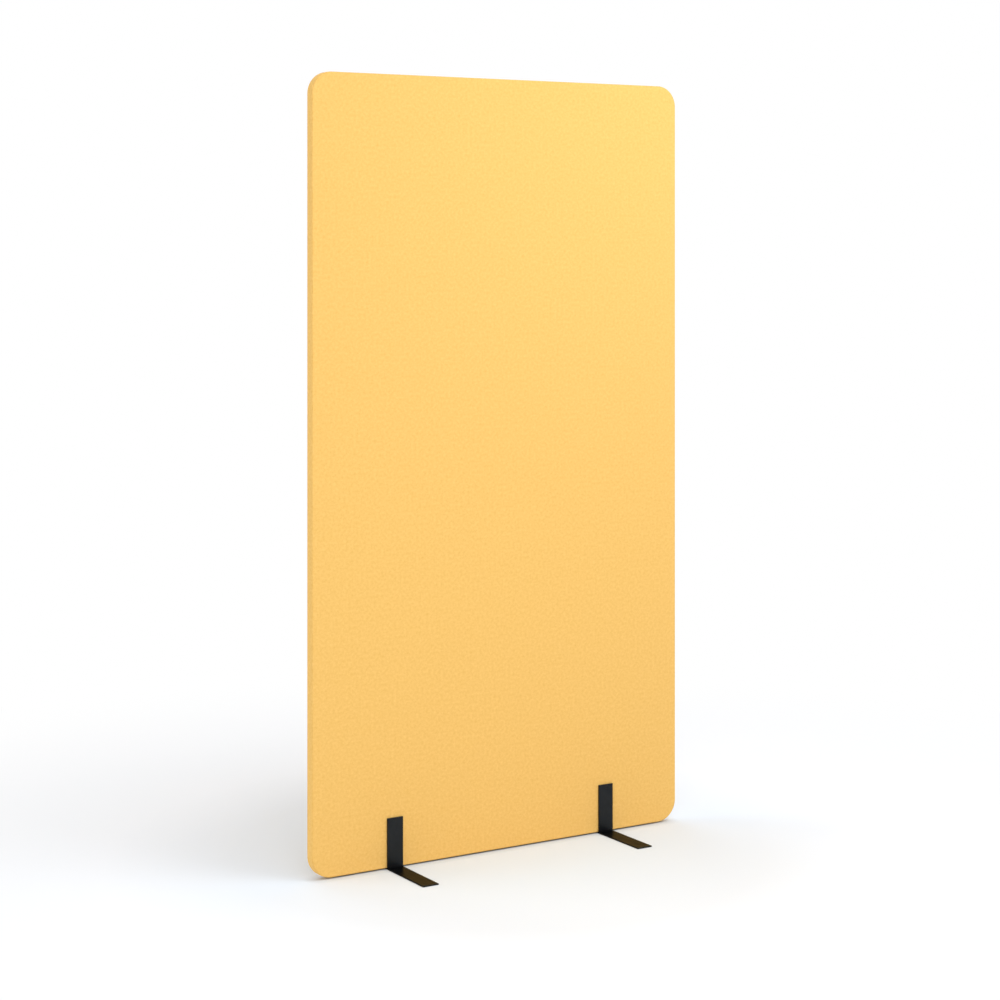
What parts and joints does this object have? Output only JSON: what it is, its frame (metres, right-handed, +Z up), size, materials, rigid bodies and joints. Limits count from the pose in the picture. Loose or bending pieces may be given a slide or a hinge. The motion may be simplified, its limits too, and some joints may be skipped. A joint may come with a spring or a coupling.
{
  "type": "acoustic divider screen",
  "caption": "Upright cloth-covered acoustic panel with rounded corners, held by two flat U-shaped steel feet; divides a room and absorbs sound.",
  "frame": {"origin": "on the floor, under the middle of the panel", "axes": "+X along the panel's width, to the right seen from the front; +Y from the front face to the back; +Z up"},
  "size_m": [1, 0.354, 1.803],
  "materials": {
    "cover_cloth": "matte",
    "strip_cloth": "matte",
    "wadding": "matte",
    "absorber": "matte",
    "frame_wood": "matte",
    "dowel_wood": "matte",
    "foot_paint": "satin",
    "screw_black": "satin",
    "bright_steel": "satin"
  },
  "bodies": {
    "root": {"bottom_rail": "frame_wood", "closing_strip": "strip_cloth", "core_lower": "absorber", "core_upper": "absorber", "cover_back": "cover_cloth", "cover_front": "cover_cloth", "foot_block_left": "frame_wood", "foot_block_right": "frame_wood", "foot_left_back_upright": "foot_paint", "foot_left_base": "foot_paint", "foot_left_front_upright": "foot_paint", "foot_left_inserts": "bright_steel", "foot_left_screws": "screw_black", "foot_left_welds": "foot_paint", "foot_right_back_upright": "foot_paint", "foot_right_base": "foot_paint", "foot_right_front_upright": "foot_paint", "foot_right_inserts": "bright_steel", "foot_right_screws": "screw_black", "foot_right_welds": "foot_paint", "frame_dowels": "dowel_wood", "left_stile": "frame_wood", "middle_rail": "frame_wood", "padding_back": "wadding", "padding_front": "wadding", "right_stile": "frame_wood", "strip_staples": "bright_steel", "top_rail": "frame_wood"}
  },
  "joints": []
}
